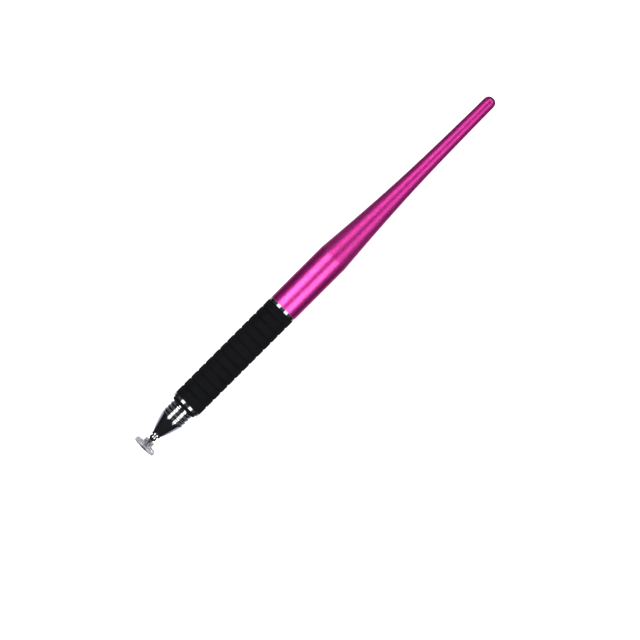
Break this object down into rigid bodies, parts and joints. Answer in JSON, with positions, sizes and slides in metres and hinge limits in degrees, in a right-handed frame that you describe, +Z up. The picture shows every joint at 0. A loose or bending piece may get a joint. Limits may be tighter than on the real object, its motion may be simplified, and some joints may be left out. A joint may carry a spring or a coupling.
{
  "type": "stylus pen",
  "caption": "Slim touch-screen stylus pen with a swivelling clear disc tip, chromed threaded nose, grooved rubber grip and tapering anodised barrel.",
  "frame": {"origin": "on the table under the pen, at half its length", "axes": "+X along the pen from the disc tip towards the tail, +Z up from the table it lies on, +Y to its left seen from the tail"},
  "size_m": [0.1404, 0.0094, 0.0093],
  "materials": {
    "clear_plastic": "clear, moulded, gloss",
    "steel": "turned, satin",
    "chrome": "polished plating",
    "black_rubber": "matt",
    "brass": "turned, unplated",
    "anodised_magenta": "anodised over fine circumferential brushing"
  },
  "bodies": {
    "pen_body": {"nose": "chrome", "seal_ring": "black_rubber", "front_ring": "chrome", "grip_sleeve": "black_rubber", "core_tube": "brass", "rear_ring": "chrome", "barrel_bush": "brass", "barrel": "anodised_magenta"},
    "tip_retainer": {"tip_ring": "black_rubber"},
    "tip_pin": {"ball_pin": "chrome"},
    "tip_disc": {"touch_disc": "clear_plastic", "socket_cup": "steel"}
  },
  "joints": [
    {"name": "tip_pull", "type": "slide", "parent": "pen_body", "child": "tip_retainer", "axis": [-1, 0, 0], "range_m": [0, 0.0075]},
    {"name": "tip_spin", "type": "hinge", "parent": "tip_retainer", "child": "tip_pin", "pos_m": [-0.0616, 0, 0.00465], "axis": [1, 0, 0], "continuous": true},
    {"name": "disc_tilt", "type": "hinge", "parent": "tip_pin", "child": "tip_disc", "pos_m": [-0.06822, 0, 0.00465], "axis": [0, 1, 0], "range_deg": [-20, 20]}
  ]
}
